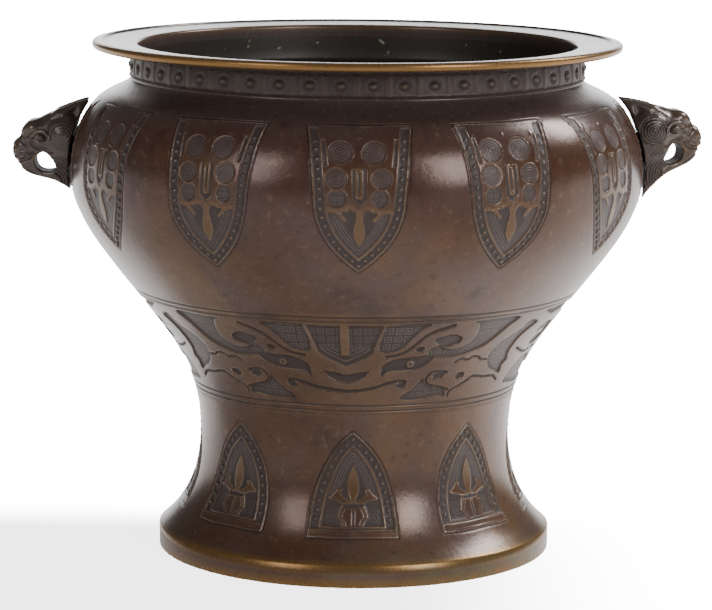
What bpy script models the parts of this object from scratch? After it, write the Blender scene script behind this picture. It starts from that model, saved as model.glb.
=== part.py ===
"""Bronze jardiniere vase: one round casting and two beast-head handles set on its shoulder.

Metres, +Z up. The foot stands on z = 0, the axis of the vase is the Z axis and the handles lie
along X. A turn is the angle in degrees from the front (-Y) towards +X.
"""
import math

import bmesh
import bpy
from mathutils import Matrix

# Outside of the casting
FOOT_RADIUS = 0.1012
FOOT_BAND_HEIGHT = 0.0109
WAIST_RADIUS = 0.0798
WAIST_HEIGHT = 0.062
BELLY_RADIUS = 0.1462
BELLY_HEIGHT = 0.195
NECK_RADIUS = 0.1153
NECK_HEIGHT = 0.243
NECK_TALL = 0.0112
LIP_RADIUS = 0.135
LIP_UNDERSIDE = 0.0036
LIP_THICKNESS = 0.0044
LIP_ROLL = 0.005
LIP_DISH = 0.0012
MOUTH_RADIUS = 0.112

# Inside of the casting
WALL = 0.0030
FLOOR_HEIGHT = 0.0115
FLOOR_THICKNESS = 0.0045
FLOOR_CURVE = 0.012
FLOOR_CURVE_SHARE = 0.3
FOOT_RING_WIDTH = 0.0052

# Carving
CARVE_DEPTH = 0.0010
CARVE_RISE = 0.0004
CARVE_SLOPE = 0.0009
COLUMNS = 96
CAVITY_COLUMNS = 32
SQUARE_BOSS = 0.0009
UPPER_PANELS = 12
UPPER_PANEL_TURN_DEG = 0.65
UPPER_PANEL_BELOW_NECK = 0.0118
UPPER_PANEL_BELOW_BELLY = 0.0315
UPPER_PANEL_HALF = 0.0244
UPPER_PANEL_WAIST = 0.86
UPPER_PANEL_ROWS = 6
LOWER_PANELS = 8
LOWER_PANEL_TURN_DEG = 0
LOWER_PANEL_ABOVE_FOOT = 0.0119
LOWER_PANEL_ABOVE_WAIST = 0.0118
LOWER_PANEL_HALF = 0.0232
LOWER_PANEL_TAPER = 0.25
LOWER_PANEL_ROWS = 5
PANEL_BAND = 0.0056
FRIEZE_ABOVE_WAIST = 0.0245
FRIEZE_TALL = 0.052
FRIEZE_ROWS = 6
FRIEZE_TURN_DEG = -2.7
FRIEZE_MASKS = 2
FRIEZE_DEPTH = 0.0016

# Handles
HANDLE_STAND = 0.0306
HANDLE_GAP = 0.0014
TOUCH_GAP = 0.0003
HEAD_HALF_WIDTH = 0.0165
JAW_HALF_WIDTH = 0.0104
JAW_ROUNDING = 0.0009
STEM_RADIUS = 0.0085
STEM_LENGTH = 0.010
STEM_RISE = 0.004
CHEEK_RADIUS = 0.0072
CHEEK_RISE = 0.0013
EAR_LENGTH = 0.0222
EAR_RADIUS = 0.0058
EAR_THIN = 0.75
EAR_LEAN_DEG = 58
EAR_SPLAY_DEG = 8
LEFT_HEAD_ABOVE_BELLY = 0.0047
LEFT_HEAD_LIFT_DEG = 0
LEFT_HEAD_YAW_DEG = 0
RIGHT_HEAD_ABOVE_BELLY = 0.0094
RIGHT_HEAD_LIFT_DEG = 10
RIGHT_HEAD_YAW_DEG = 10

WELD_DISTANCE = 0.00002

HEIGHT = NECK_HEIGHT + NECK_TALL + LIP_UNDERSIDE + LIP_THICKNESS
UPPER_PANEL_TOP = NECK_HEIGHT - UPPER_PANEL_BELOW_NECK
UPPER_PANEL_TIP = BELLY_HEIGHT - UPPER_PANEL_BELOW_BELLY
LOWER_PANEL_BASE = FOOT_BAND_HEIGHT + LOWER_PANEL_ABOVE_FOOT
LOWER_PANEL_TIP = WAIST_HEIGHT + LOWER_PANEL_ABOVE_WAIST
FRIEZE_BASE = WAIST_HEIGHT + FRIEZE_ABOVE_WAIST
FRIEZE_TOP = FRIEZE_BASE + FRIEZE_TALL
HANDLE_REACH = BELLY_RADIUS + HANDLE_STAND
LEFT_HEAD_HEIGHT = BELLY_HEIGHT + LEFT_HEAD_ABOVE_BELLY
RIGHT_HEAD_HEIGHT = BELLY_HEIGHT + RIGHT_HEAD_ABOVE_BELLY

# Wall between two named rings: share of the way up, share of the way out, lean as a share
# of the straight line's lean
FLARE = ((0.315, 0.626, 1.31),)
RISE = ((0.386, 0.265, 1.443), (0.737, 0.801, 1.403))
SHOULDER = ((0.6625, 0.2945, 1.1185), (0.881, 0.718, 3.57))
FOOT_LEAN = 2.87
NECK_LEAN = 0.47

# Side view of a beast head: distance out from the belly and height above the handle's centre,
# as shares of the head's length
HEAD_LENGTH_SHARE = 0.98
HEAD_LENGTH = HANDLE_STAND * HEAD_LENGTH_SHARE
HEAD_OUTLINE = (
    (-0.60, -0.66), (-0.08, -0.53), (0.08, -0.43), (0.28, -0.34), (0.49, -0.29), (0.67, -0.24),
    (0.80, -0.16), (0.92, 0.00), (0.98, 0.12), (0.97, 0.24), (0.91, 0.32), (0.83, 0.39),
    (0.80, 0.50), (0.68, 0.64), (0.52, 0.72), (0.34, 0.78), (0.13, 0.85), (-0.60, 0.92))
JAW_HOLE_CENTRE = (0.452, -0.045)
JAW_HOLE_RADII = (0.200, 0.174)
JAW_HOLE_POINTS = 10
# The jaw strap is narrower than the skull: share of its width, then the height where the
# narrowing starts and the distance out where it starts, each with the length it takes
STRAP_WIDTH = 0.72
STRAP_BELOW = (0.12, 0.25)
STRAP_BEYOND = (0.10, 0.30)
CHEEK_CENTRE = (0.083, 0.433)
# Root of each ear: distance out, share of the half width to its side, height
EAR_ROOT = (0.30, 0.55, 0.64)
# Section of the ear from its tip down: share of its radius, share of its length
EAR_PROFILE = ((0.0, 1.0), (0.75, 0.55), (1.0, 0.25), (0.0, 0.0))
# Swellings of the head: centre as in the side view, then half sizes out, across and up
HEAD_SWELLINGS = (
    ("cheek", (0.12, 0.36), (0.50, 0.55, 0.46)),
    ("brow", (0.60, 0.50), (0.27, 0.43, 0.20)))


def clear_scene():
    for item in list(bpy.data.objects):
        bpy.data.objects.remove(item, do_unlink=True)


def new_collection(name):
    group = bpy.data.collections.new(name)
    bpy.context.scene.collection.children.link(group)
    return group


def bronze(name, colour, roughness):
    material = bpy.data.materials.new(name)
    material.use_nodes = True
    shader = material.node_tree.nodes["Principled BSDF"]
    shader.inputs["Base Color"].default_value = (*colour, 1.0)
    shader.inputs["Roughness"].default_value = roughness
    shader.inputs["Metallic"].default_value = 1.0
    return material


def add_object(name, data, group):
    item = bpy.data.objects.new(name, data)
    group.objects.link(item)
    return item


def as_cutter(item):
    item.hide_render = True
    item.display_type = "WIRE"
    return item


def combine(item, operation, other, solver="EXACT"):
    step = item.modifiers.new(operation.lower() + "_" + other.name, "BOOLEAN")
    step.operation = operation
    step.solver = solver
    step.object = other


def frozen(item, name):
    """The item's shape as a plain mesh, with its modifiers worked in."""
    shape = bpy.data.meshes.new_from_object(item.evaluated_get(bpy.context.evaluated_depsgraph_get()))
    shape.name = name
    bpy.data.objects.remove(item, do_unlink=True)
    return shape


def turned(name, profile, steps, group):
    """A profile of (radius, height) points, listed from the top down, turned about the Z axis."""
    line = bpy.data.meshes.new(name + "_profile")
    edges = [(k, k + 1) for k in range(len(profile) - 1)]
    line.from_pydata([(radius, 0.0, height) for radius, height in profile], edges, [])
    item = add_object(name, line, group)
    screw = item.modifiers.new("turn", "SCREW")
    screw.steps = screw.render_steps = steps
    screw.use_merge_vertices = True
    screw.merge_threshold = WELD_DISTANCE
    bpy.context.view_layer.update()
    return add_object(name, frozen(item, name), group)


def weld(shape):
    """Join the flat caps of a filled curve to its rim."""
    points = bmesh.new()
    points.from_mesh(shape)
    bmesh.ops.remove_doubles(points, verts=points.verts, dist=WELD_DISTANCE)
    points.to_mesh(shape)
    points.free()


def even(low, high, count):
    return [low + (high - low) * k / (count - 1) for k in range(count)]


def wall_stations():
    """Rings of the wall as (height, radius, change of radius with height)."""
    foot, waist = (FOOT_BAND_HEIGHT, FOOT_RADIUS), (WAIST_HEIGHT, WAIST_RADIUS)
    belly, neck = (BELLY_HEIGHT, BELLY_RADIUS), (NECK_HEIGHT, NECK_RADIUS)
    stations = []
    for low, high, shares in ((foot, waist, FLARE), (waist, belly, RISE), (belly, neck, SHOULDER)):
        tall, wide = high[0] - low[0], high[1] - low[1]
        start = FOOT_LEAN * wide / tall if low is foot else 0.0
        stations.append((low[0], low[1], start))
        stations += [(low[0] + up * tall, low[1] + out * wide, lean * wide / tall)
                     for up, out, lean in shares]
    stations.append((*neck, NECK_LEAN * wide / tall))
    return stations


STATIONS = wall_stations()


def wall_radius(height):
    """Outer radius of the plain wall: a cubic curve through the stations, with their leans."""
    if height <= STATIONS[0][0]:
        return STATIONS[0][1]
    if height >= STATIONS[-1][0]:
        return STATIONS[-1][1]
    for (z0, r0, m0), (z1, r1, m1) in zip(STATIONS, STATIONS[1:]):
        if height <= z1:
            span = z1 - z0
            t = (height - z0) / span
            return (r0 * (1 + 2 * t) * (1 - t) ** 2 + m0 * span * t * (1 - t) ** 2
                    + r1 * t * t * (3 - 2 * t) + m1 * span * t * t * (t - 1))


def wall_length(low, high, pieces=60):
    """Length of the wall's curve between two heights, signed like high - low."""
    heights = even(low, high, pieces + 1)
    chords = zip(heights, heights[1:])
    length = sum(math.hypot(b - a, wall_radius(b) - wall_radius(a)) for a, b in chords)
    return math.copysign(length, high - low)


def upper_panel_half(height):
    """Half width of the hanging shield: slightly drawn in, then two curves to a point below."""
    t = wall_length(UPPER_PANEL_TOP, height) / wall_length(UPPER_PANEL_TOP, UPPER_PANEL_TIP)
    if t < 0.5:
        return UPPER_PANEL_HALF * (1 - (1 - UPPER_PANEL_WAIST) * 2 * t)
    return UPPER_PANEL_HALF * UPPER_PANEL_WAIST * max(0.0, 1 - (2 * t - 1) ** 2)


def lower_panel_half(height):
    """Half width of the standing arch: nearly upright below, closing to a point above."""
    t = wall_length(LOWER_PANEL_BASE, height) / wall_length(LOWER_PANEL_BASE, LOWER_PANEL_TIP)
    return LOWER_PANEL_HALF * max(0.0, 1 - LOWER_PANEL_TAPER * t - (1 - LOWER_PANEL_TAPER) * t ** 4)


def panel_columns(half, pitch, columns):
    """Across one panel and its plain border: (distance from the middle, depth) of each column.

    Distances are mirrored about the middle. The carved band runs along the outline, and a
    line stands at the band's inner edge.
    """
    edge = max(half, 3 * CARVE_SLOPE)
    band = edge - CARVE_SLOPE
    inner = max(edge - PANEL_BAND, CARVE_SLOPE)
    if columns == 8:
        side = [(inner, CARVE_RISE), (band, -CARVE_DEPTH), (edge, 0.0)]
    else:
        side = [(inner / 2, -CARVE_DEPTH / 2), (inner, CARVE_RISE), (band, -CARVE_DEPTH),
                (edge, 0.0), ((edge + pitch / 2) / 2, 0.0)]
    mirror = [(-across, depth) for across, depth in reversed(side)]
    return [(0.0, CARVE_RISE)] + side + [(pitch / 2, 0.0)] + mirror


def panel_point(column, height, panels, turn, half, end_row):
    """Turn and depth of a column in a row of the panel belt."""
    columns = COLUMNS // panels
    cell, place = divmod(column, columns)
    radius = wall_radius(height)
    pitch = 2 * math.pi * radius / panels
    across, depth = panel_columns(half, pitch, columns)[place]
    if end_row:
        depth = 0.0
    if place > columns // 2:
        cell += 1
    return cell * 360.0 / panels + turn + math.degrees(across / radius), depth


# Sunk grounds between the raised forms of the mask: turn from the nose, share of the belt's
# height, half width in degrees and half height as a share
FRIEZE_GROUNDS = (
    (6.5, 0.66, 4.5, 0.24), (17.0, 0.78, 5.5, 0.15), (33.0, 0.62, 4.0, 0.10),
    (41.0, 0.68, 4.5, 0.22), (22.0, 0.46, 8.0, 0.07), (25.0, 0.20, 7.0, 0.11),
    (55.0, 0.50, 7.0, 0.30), (76.0, 0.62, 5.0, 0.12))


def frieze_depth(turn, height):
    """Depth of the belt of masks: flat raised forms over sunk grounds, mirrored at each nose."""
    period = 360.0 / FRIEZE_MASKS
    aside = abs((turn - FRIEZE_TURN_DEG + period / 2) % period - period / 2)
    share = (height - FRIEZE_BASE) / (FRIEZE_TOP - FRIEZE_BASE)
    depth = 0.0
    for at, up, wide, tall in FRIEZE_GROUNDS:
        away = math.hypot((aside - at) / wide, (share - up) / tall)
        depth = min(depth, -FRIEZE_DEPTH * max(0.0, min(1.0, 3.0 * (1.25 - away))))
    return depth


def carved_point(column, row, rows):
    """Turn and radius of one point of the outside, from its column and its row."""
    zone, height, radius = rows[row]
    turn, depth = column * 360.0 / COLUMNS, 0.0
    if zone in ("upper", "upper end"):
        turn, depth = panel_point(column, height, UPPER_PANELS, UPPER_PANEL_TURN_DEG,
                                  upper_panel_half(height), zone == "upper end")
    elif zone in ("lower", "lower end"):
        turn, depth = panel_point(column, height, LOWER_PANELS, LOWER_PANEL_TURN_DEG,
                                  lower_panel_half(height), zone == "lower end")
    elif zone == "frieze":
        turn += FRIEZE_TURN_DEG
        depth = frieze_depth(turn, height)
    elif zone == "squares":
        depth = SQUARE_BOSS if column % 2 else 0.0
    elif zone == "line":
        depth = -CARVE_DEPTH
    return turn, radius + depth


def outside_rows():
    """Rows of the outside from the top down: (zone, height, radius)."""
    lip_low = NECK_HEIGHT + NECK_TALL
    lip_edge = lip_low + LIP_UNDERSIDE
    rows = [("plain", HEIGHT - LIP_DISH, LIP_RADIUS - LIP_ROLL - LIP_DISH),
            ("plain", HEIGHT, LIP_RADIUS - LIP_ROLL / 2),
            ("plain", lip_edge + LIP_THICKNESS / 2, LIP_RADIUS),
            ("plain", lip_edge, LIP_RADIUS - LIP_DISH),
            ("plain", lip_low, NECK_RADIUS + LIP_DISH),
            ("squares", lip_low - NECK_TALL / 2, NECK_RADIUS + LIP_DISH / 2),
            ("plain", NECK_HEIGHT, NECK_RADIUS)]

    def wall(zone, height):
        rows.append((zone, height, wall_radius(height)))

    wall("plain", (NECK_HEIGHT + 2 * UPPER_PANEL_TOP) / 3 + CARVE_RISE)
    wall("upper end", UPPER_PANEL_TOP)
    for height in even(UPPER_PANEL_TOP - CARVE_SLOPE, UPPER_PANEL_TIP + PANEL_BAND, UPPER_PANEL_ROWS):
        wall("upper", height)
    wall("upper end", UPPER_PANEL_TIP)
    wall("plain", (UPPER_PANEL_TIP + FRIEZE_TOP) / 2)
    wall("plain", FRIEZE_TOP)
    wall("line", FRIEZE_TOP - CARVE_SLOPE)
    for height in even(FRIEZE_TOP - 3 * CARVE_SLOPE, FRIEZE_BASE + 3 * CARVE_SLOPE, FRIEZE_ROWS):
        wall("frieze", height)
    wall("line", FRIEZE_BASE + CARVE_SLOPE)
    wall("plain", FRIEZE_BASE)
    wall("lower end", LOWER_PANEL_TIP)
    for height in even(LOWER_PANEL_TIP - PANEL_BAND, LOWER_PANEL_BASE + CARVE_SLOPE, LOWER_PANEL_ROWS):
        wall("lower", height)
    wall("lower end", LOWER_PANEL_BASE)
    wall("plain", FOOT_BAND_HEIGHT * 1.5)
    wall("plain", FOOT_BAND_HEIGHT)
    rows.append(("plain", 0.0, FOOT_RADIUS))
    return rows


def carve(shape, rows):
    """Move each point of the turned outside to its carved place."""
    row_at = {round(height, 6): k for k, (_, height, _) in enumerate(rows)}
    for point in shape.vertices:
        x, y, height = point.co
        if math.hypot(x, y) < WALL:
            continue
        column = round(math.degrees(math.atan2(x, -y)) * COLUMNS / 360.0) % COLUMNS
        turn, radius = carved_point(column, row_at[round(height, 6)], rows)
        angle = math.radians(turn)
        point.co = (radius * math.sin(angle), -radius * math.cos(angle), height)


def body_outside(group):
    rows = outside_rows()
    profile = [(0.0, HEIGHT - 2 * LIP_DISH)] + [(radius, height) for _, height, radius in rows]
    item = turned("vase_body", profile + [(0.0, 0.0)], COLUMNS, group)
    carve(item.data, rows)
    return item


def cavity(group):
    """The room inside: the wall's curve less its thickness, closed by a rounded floor."""
    floor = FLOOR_HEIGHT + FLOOR_THICKNESS
    over = HEIGHT + LIP_RADIUS / 4
    heights = (NECK_HEIGHT, (3 * NECK_HEIGHT + BELLY_HEIGHT) / 4, BELLY_HEIGHT,
               (BELLY_HEIGHT + FRIEZE_TOP) / 2, FRIEZE_TOP, (FRIEZE_TOP + FRIEZE_BASE) / 2,
               FRIEZE_BASE, WAIST_HEIGHT, floor + FLOOR_CURVE)
    profile = [(0.0, over), (MOUTH_RADIUS, over), (MOUTH_RADIUS, NECK_HEIGHT + WALL)]
    profile += [(wall_radius(height) - WALL - CARVE_DEPTH, height) for height in heights]
    last = profile[-1][0]
    middle = FLOOR_CURVE * FLOOR_CURVE_SHARE
    profile += [(last - middle, floor + middle), (last - FLOOR_CURVE, floor)]
    return as_cutter(turned("cavity", profile + [(0.0, floor)], CAVITY_COLUMNS, group))


def foot_recess(group):
    radius = FOOT_RADIUS - FOOT_RING_WIDTH
    top = wall_radius(FLOOR_HEIGHT) - WALL - CARVE_DEPTH - FOOT_RING_WIDTH
    profile = [(0.0, FLOOR_HEIGHT), (top, FLOOR_HEIGHT), (radius, 0.0),
               (radius, -FLOOR_HEIGHT), (0.0, -FLOOR_HEIGHT)]
    return as_cutter(turned("foot_recess", profile, CAVITY_COLUMNS, group))


def belly_clearance(name, gap, group):
    """The shoulder and belly grown by a gap, to trim what is set against them."""
    low, high = LEFT_HEAD_HEIGHT - HEAD_LENGTH, NECK_HEIGHT
    profile = [(wall_radius(height) + gap, height) for height in even(high, low, 12)]
    profile = [(0.0, high)] + profile + [(0.0, low)]
    return as_cutter(turned(name, profile, COLUMNS, group))


def head_plate(name, group):
    """The side view of the head with the opening under its jaw, given thickness and rounding."""
    curve = bpy.data.curves.new(name, "CURVE")
    curve.dimensions = "2D"
    curve.fill_mode = "BOTH"
    curve.extrude = JAW_HALF_WIDTH - JAW_ROUNDING
    curve.bevel_depth = JAW_ROUNDING
    curve.bevel_resolution = 0
    curve.offset = -JAW_ROUNDING
    turns = [2 * math.pi * k / JAW_HOLE_POINTS for k in range(JAW_HOLE_POINTS)]
    hole = [(JAW_HOLE_CENTRE[0] + JAW_HOLE_RADII[0] * math.cos(a),
             JAW_HOLE_CENTRE[1] + JAW_HOLE_RADII[1] * math.sin(a)) for a in turns]
    for outline in (HEAD_OUTLINE, hole):
        spline = curve.splines.new("POLY")
        spline.points.add(len(outline) - 1)
        spline.use_cyclic_u = True
        for point, (out, up) in zip(spline.points, outline):
            point.co = (out * HEAD_LENGTH, up * HEAD_LENGTH, 0.0, 1.0)
    item = add_object(name, curve, group)
    bpy.context.view_layer.update()
    shape = frozen(item, name)
    weld(shape)
    shape.transform(Matrix.Rotation(math.radians(90), 4, "X"))
    for point in shape.vertices:
        out, up = point.co.x / HEAD_LENGTH, point.co.z / HEAD_LENGTH
        below = max(0.0, min(1.0, (STRAP_BELOW[0] - up) / STRAP_BELOW[1]))
        beyond = max(0.0, min(1.0, (out - STRAP_BEYOND[0]) / STRAP_BEYOND[1]))
        point.co.y *= 1 - (1 - STRAP_WIDTH) * below * beyond
    return shape


def swelling(name, centre, half_sizes, sides, rings, group):
    """A rounded swelling of the head: a ball turned about its crosswise axis, then stretched."""
    arc = [math.pi * k / rings for k in range(rings + 1)]
    item = turned(name, [(math.sin(a), math.cos(a)) for a in arc], sides, group)
    stretch = Matrix.Diagonal((*[HEAD_LENGTH * half for half in half_sizes], 1.0))
    place = Matrix.Translation((centre[0] * HEAD_LENGTH, 0, centre[1] * HEAD_LENGTH))
    item.data.transform(place @ stretch @ Matrix.Rotation(math.radians(90), 4, "X"))
    return as_cutter(item)


def disc(name, radius, half_length, centre, sides, group):
    """A round boss that runs through the head from side to side."""
    profile = [(0.0, half_length), (radius, half_length), (radius, -half_length), (0.0, -half_length)]
    item = turned(name, profile, sides, group)
    item.data.transform(Matrix.Translation(centre) @ Matrix.Rotation(math.radians(90), 4, "X"))
    return as_cutter(item)


def ear(name, side, group):
    """A pointed ear laid back from the top of the head."""
    item = turned(name, [(EAR_RADIUS * wide, EAR_LENGTH * along) for wide, along in EAR_PROFILE], 6, group)
    lean = Matrix.Rotation(math.radians(-EAR_LEAN_DEG), 4, "Y")
    splay = Matrix.Rotation(math.radians(-EAR_SPLAY_DEG * side), 4, "X")
    out, aside, up = EAR_ROOT
    root = (out * HEAD_LENGTH, side * aside * HEAD_HALF_WIDTH, up * HEAD_LENGTH)
    item.data.transform(Matrix.Translation(root) @ lean @ splay @ Matrix.Diagonal((EAR_THIN, 1, 1, 1)))
    return as_cutter(item)


def handle(name, side, height, lift, yaw, material, group, helpers):
    """One beast head: skull with jaw opening, cheek bosses, eyes and ears, trimmed to the belly."""
    half = HEAD_HALF_WIDTH
    head = add_object(name, head_plate(name, helpers), group)
    pieces = [swelling(name + "_" + label, centre, half_sizes, 8, 4, helpers)
              for label, centre, half_sizes in HEAD_SWELLINGS]
    pieces += [disc(name + "_cheek_discs", CHEEK_RADIUS, half - CHEEK_RISE / 2,
                    (CHEEK_CENTRE[0] * HEAD_LENGTH, 0, CHEEK_CENTRE[1] * HEAD_LENGTH), 10, helpers),
               ear(name + "_ear_a", 1, helpers), ear(name + "_ear_b", -1, helpers)]
    pose = Matrix.Rotation(math.radians(yaw), 4, "Z") @ Matrix.Rotation(math.radians(-lift), 4, "Y")
    for item in [head] + pieces:
        item.data.transform(pose)
    reach = max(point.co.x for point in head.data.vertices)
    place = Matrix.Translation((HANDLE_REACH - reach, 0, height))
    stem = turned(name + "_stem", [(0.0, STEM_LENGTH), (STEM_RADIUS, STEM_LENGTH),
                                   (STEM_RADIUS, -STEM_LENGTH), (0.0, -STEM_LENGTH)], 8, helpers)
    stem.data.transform(Matrix.Translation((BELLY_RADIUS, 0, height + STEM_RISE))
                        @ Matrix.Rotation(math.radians(90), 4, "Y"))
    for item in [head] + pieces:
        item.data.transform(place)
    for item in [head, stem] + pieces:
        if side < 0:
            item.data.transform(Matrix.Diagonal((-1, 1, 1, 1)))
            item.data.flip_normals()
    combine(as_cutter(stem), "DIFFERENCE", helpers.objects["stem_clearance"])
    for item in pieces:
        combine(head, "UNION", item, "MANIFOLD")
    combine(head, "DIFFERENCE", helpers.objects["head_clearance"], "MANIFOLD")
    combine(head, "UNION", stem, "MANIFOLD")
    head.data.materials.append(material)
    return head


def finish_cast(item):
    """Close the doubled points that joined pieces leave, and shade the item as one casting."""
    join = item.modifiers.new("join_points", "WELD")
    join.merge_threshold = WELD_DISTANCE
    item.data.shade_smooth()
    item.data.set_sharp_from_angle(angle=math.radians(32))


clear_scene()
parts = new_collection("bronze_vase")
cutters = new_collection("cutters")

# The casting: turned and carved outside, hollowed from the mouth and from below
body = body_outside(parts)
body.data.materials.append(bronze("body_bronze", (0.16, 0.10, 0.075), 0.42))
combine(body, "DIFFERENCE", cavity(cutters))
combine(body, "DIFFERENCE", foot_recess(cutters))
finish_cast(body)

# The two heads, each cast on its own and set against the shoulder
belly_clearance("head_clearance", HANDLE_GAP, cutters)
belly_clearance("stem_clearance", CARVE_RISE + TOUCH_GAP, cutters)
head_bronze = bronze("handle_bronze", (0.15, 0.095, 0.07), 0.40)
for name, side, height, lift, yaw in (
        ("head_handle_left", -1, LEFT_HEAD_HEIGHT, LEFT_HEAD_LIFT_DEG, LEFT_HEAD_YAW_DEG),
        ("head_handle_right", 1, RIGHT_HEAD_HEIGHT, RIGHT_HEAD_LIFT_DEG, RIGHT_HEAD_YAW_DEG)):
    finish_cast(handle(name, side, height, lift, yaw, head_bronze, parts, cutters))
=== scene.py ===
"""Bronze vase with carved belts and two beast-head handles, dressed for a studio picture."""
import functools
import math

import bpy
import numpy as np
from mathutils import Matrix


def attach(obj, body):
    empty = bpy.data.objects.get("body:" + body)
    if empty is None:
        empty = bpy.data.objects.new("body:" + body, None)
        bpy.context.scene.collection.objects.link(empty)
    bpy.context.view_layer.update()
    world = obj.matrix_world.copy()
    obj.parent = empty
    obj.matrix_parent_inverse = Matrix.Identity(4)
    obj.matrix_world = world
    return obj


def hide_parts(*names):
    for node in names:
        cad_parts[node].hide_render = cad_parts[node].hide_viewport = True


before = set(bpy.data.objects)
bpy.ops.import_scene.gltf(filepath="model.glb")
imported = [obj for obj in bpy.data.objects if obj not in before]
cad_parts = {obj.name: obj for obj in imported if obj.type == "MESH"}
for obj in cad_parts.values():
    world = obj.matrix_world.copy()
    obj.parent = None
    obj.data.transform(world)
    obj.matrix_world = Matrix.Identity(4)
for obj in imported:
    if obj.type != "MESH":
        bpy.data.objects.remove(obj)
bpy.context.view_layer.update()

# The foot and the floor: the lowest part of the one bronze casting. The vase stands on a plain
# ring, and the floor sits a finger's width above it. Cast hollow round a core, then filed; the
# foot's edge is worn to a golden brown. Sizes are in millimetres and are made metres in the mesh.
FOOT_RADIUS, FOOT_BAND, FOOT_EDGE = 101.2, 10.9, 0.9
FOOT_INSIDE, RECESS_RADIUS = 96.0, 89.5
FLOOR_UNDER, FLOOR_TOP = 11.5, 16.0
CAST_WALL = 4.0
FOOT_TOP_ARC = 20.5
PLAIN_COLUMNS, SHARP_FROM = 480, 70
# Height, radius and lean of the wall at nine rings from the foot's band to the neck
WALL_STATIONS = ((10.9, 101.2, -1.2), (27, 87.8, -0.55), (62, 79.8, 0), (113.4, 97.4, 0.72),
                 (160, 133, 0.70), (195, 146.2, 0), (226.8, 137.1, -0.72), (237.3, 124, -2.3),
                 (243, 115.3, -0.3))


def curve_through(stations, place):
    """Smooth curve through (place, value, lean) stations: on each stretch the cubic whose ends
    have the stations' values and leans."""
    x, y, lean = np.array(stations, dtype=float).T
    k = np.clip(np.searchsorted(x, place, "right") - 1, 0, len(x) - 2)
    span = x[k + 1] - x[k]
    t = np.clip((place - x[k]) / span, 0, 1)
    return (y[k] * (1 + 2 * t) * (1 - t) ** 2 + lean[k] * span * t * (1 - t) ** 2
            + y[k + 1] * t * t * (3 - 2 * t) + lean[k + 1] * span * t * t * (t - 1))


WALL_HEIGHTS = np.linspace(FOOT_BAND, WALL_STATIONS[-1][0], 4000)
WALL_RADII = curve_through(WALL_STATIONS, WALL_HEIGHTS)
WALL_ARCS = FOOT_BAND + np.r_[0, np.cumsum(np.hypot(np.diff(WALL_HEIGHTS), np.diff(WALL_RADII)))]


def wall_at(arc):
    """Radius, height and outward direction of the plain wall at an arc length up from the foot."""
    ahead, behind = arc + 0.4, arc - 0.4
    radius, height = np.interp(arc, WALL_ARCS, WALL_RADII), np.interp(arc, WALL_ARCS, WALL_HEIGHTS)
    run = np.interp(ahead, WALL_ARCS, WALL_RADII) - np.interp(behind, WALL_ARCS, WALL_RADII)
    rise = np.interp(ahead, WALL_ARCS, WALL_HEIGHTS) - np.interp(behind, WALL_ARCS, WALL_HEIGHTS)
    length = np.hypot(run, rise)
    return radius, height, rise / length, -run / length


def arc_at(height):
    return float(np.interp(height, WALL_HEIGHTS, WALL_ARCS))


def on_circle(radius, height, turn):
    """Points at a radius and height, at a turn in degrees from the front towards +X."""
    angle = np.radians(turn)
    return np.stack(np.broadcast_arrays(radius * np.sin(angle), -radius * np.cos(angle), height), -1)


def band_faces(rows, columns, start=0):
    """Four-sided faces between neighbouring rows of points that run round the axis."""
    row, column = np.meshgrid(np.arange(rows - 1), np.arange(columns), indexing="ij")
    after = (column + 1) % columns
    corner = [row * columns + column, row * columns + after,
              (row + 1) * columns + after, (row + 1) * columns + column]
    return start + np.stack(corner, -1).reshape(-1, 4)


def add_piece(name, points, faces, marks, finish):
    """Put points in millimetres, faces of three or four corners and float marks into an object."""
    shape = bpy.data.meshes.new(name)
    corners = np.concatenate([part.reshape(-1) for part in faces])
    counts = np.concatenate([np.full(len(part), part.shape[1]) for part in faces])
    shape.vertices.add(len(points))
    shape.vertices.foreach_set("co", (points * 0.001).astype(np.float32).reshape(-1))
    shape.loops.add(len(corners))
    shape.loops.foreach_set("vertex_index", corners.astype(np.int32))
    shape.polygons.add(len(counts))
    shape.polygons.foreach_set("loop_start", np.r_[0, np.cumsum(counts)[:-1]].astype(np.int32))
    shape.update(calc_edges=True)
    for mark, values in marks.items():
        layer = shape.attributes.new(mark, "FLOAT", "POINT")
        layer.data.foreach_set("value", values.astype(np.float32))
    shape.shade_smooth()
    shape.set_sharp_from_angle(angle=math.radians(SHARP_FROM))
    shape.materials.append(finish)
    item = bpy.data.objects.new(name, shape)
    bpy.context.scene.collection.objects.link(item)
    return item


def lathe(name, profile, columns, marks, finish, closed):
    """Turn a profile of (radius, height) about the axis. A closed profile makes a ring, and an
    open one starts and ends on the axis, where fans of triangles close the poles."""
    turn = np.arange(columns) * 360 / columns
    inner = profile if closed else profile[1:-1]
    rows = len(inner)
    points = on_circle(inner[:, :1], inner[:, 1:], turn).reshape(-1, 3)
    marks = {mark: np.repeat(values if closed else values[1:-1], columns) for mark, values in marks.items()}
    faces = [band_faces(rows, columns)]
    here = np.arange(columns)
    after = (here + 1) % columns
    last = (rows - 1) * columns
    if closed:
        faces.append(np.stack([last + here, last + after, after, here], -1))
    else:
        poles = np.array([[0, 0, profile[0, 1]], [0, 0, profile[-1, 1]]])
        low, high = len(points), len(points) + 1
        points = np.concatenate([points, poles])
        marks = {mark: np.r_[values, values[0], values[-1]] for mark, values in marks.items()}
        faces.append(np.stack([after, here, np.full(columns, low)], -1))
        faces.append(np.stack([last + here, last + after, np.full(columns, high)], -1))
    return add_piece(name, points, faces, marks, finish)


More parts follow.
